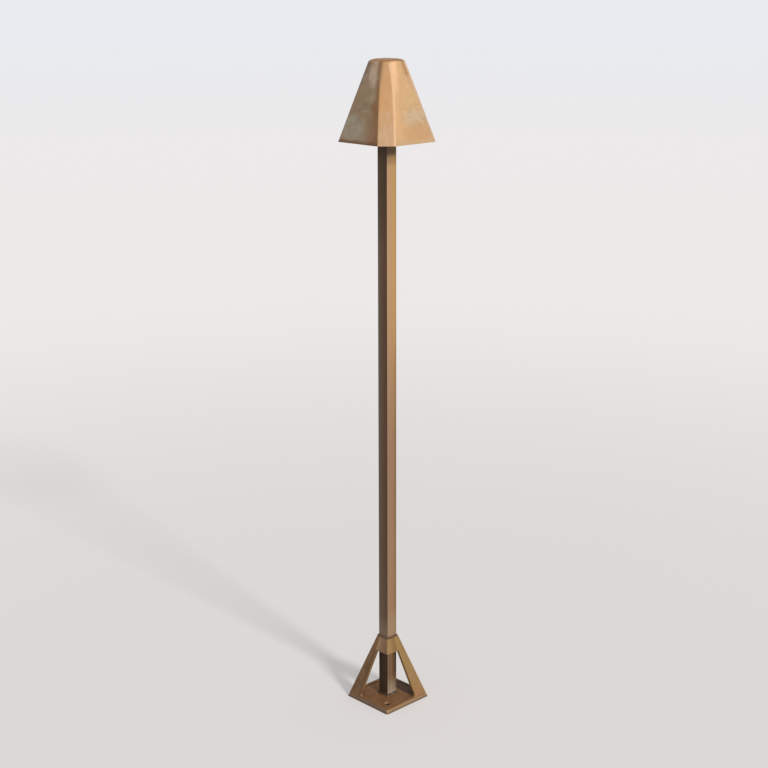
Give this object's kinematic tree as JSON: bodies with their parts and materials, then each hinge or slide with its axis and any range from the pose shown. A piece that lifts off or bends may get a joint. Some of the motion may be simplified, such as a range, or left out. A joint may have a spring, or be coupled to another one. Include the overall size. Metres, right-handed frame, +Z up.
{
  "type": "garden lantern",
  "caption": "Tall garden path light: a folded hood with flattened corners on a slim square post, standing on an open pyramid base with a screw-down plate.",
  "frame": {"origin": "on the ground under the post's axis, at the centre of the base's underside", "axes": "+Z up along the post, X and Y along the base's sides, the two legs on the (+X, +Y) and (-X, -Y) corners"},
  "size_m": [0.1182, 0.1182, 1.014],
  "materials": {
    "hood_brass": "satin, weathered with soft patina",
    "post_brass": "drawn, satin, weathered",
    "base_brass": "cast, satin, weathered",
    "fitting_brass": "machined, satin",
    "steel": "plain machined",
    "rubber": "matt",
    "ceramic": "matt",
    "lamp_glass": "clear",
    "lamp_wire": "bare wire"
  },
  "bodies": {
    "stand": {"base_plate": "base_brass", "pyramid_frame": "base_brass", "collar_set_screws": "steel", "post": "post_brass", "wire_grommet": "rubber", "stop_pin": "steel", "post_top_plug": "fitting_brass", "lamp_socket": "ceramic", "socket_contacts": "fitting_brass", "socket_screws": "steel"},
    "hood": {"shade_hood": "hood_brass", "hood_hub": "fitting_brass", "hood_arm_front_right": "fitting_brass", "hood_arm_back_right": "fitting_brass", "hood_arm_back_left": "fitting_brass", "hood_arm_front_left": "fitting_brass"},
    "front_pad": {"front_screw_pad": "fitting_brass"},
    "front_screw": {"front_thumb_screw": "fitting_brass"},
    "back_pad": {"back_screw_pad": "fitting_brass"},
    "back_screw": {"back_thumb_screw": "fitting_brass"},
    "lamp": {"lamp_capsule": "lamp_glass", "lamp_pins": "lamp_wire", "lamp_filament": "lamp_wire"}
  },
  "joints": [
    {"name": "hood_lift", "type": "slide", "parent": "stand", "child": "hood", "axis": [0, 0, 1], "range_m": [0, 0.11]},
    {"name": "lamp_pull", "type": "slide", "parent": "stand", "child": "lamp", "axis": [0, 0, 1], "range_m": [0, 0.01]},
    {"name": "front_pad_travel", "type": "slide", "parent": "hood", "child": "front_pad", "axis": [0, -1, 0], "range_m": [0, 0.0021]},
    {"name": "front_screw_turn", "type": "hinge", "parent": "front_pad", "child": "front_screw", "pos_m": [0, -0.021, 0.919], "axis": [0, -1, 0], "range_deg": [0, 1080]},
    {"name": "back_pad_travel", "type": "slide", "parent": "hood", "child": "back_pad", "axis": [0, 1, 0], "range_m": [0, 0.0021]},
    {"name": "back_screw_turn", "type": "hinge", "parent": "back_pad", "child": "back_screw", "pos_m": [0, 0.021, 0.919], "axis": [0, 1, 0], "range_deg": [0, 1080]}
  ],
  "couplings": [
    {"joint": "front_screw_turn", "follows": "front_pad_travel", "rad_per_m": 8975.9},
    {"joint": "back_screw_turn", "follows": "back_pad_travel", "rad_per_m": 8975.9}
  ]
}
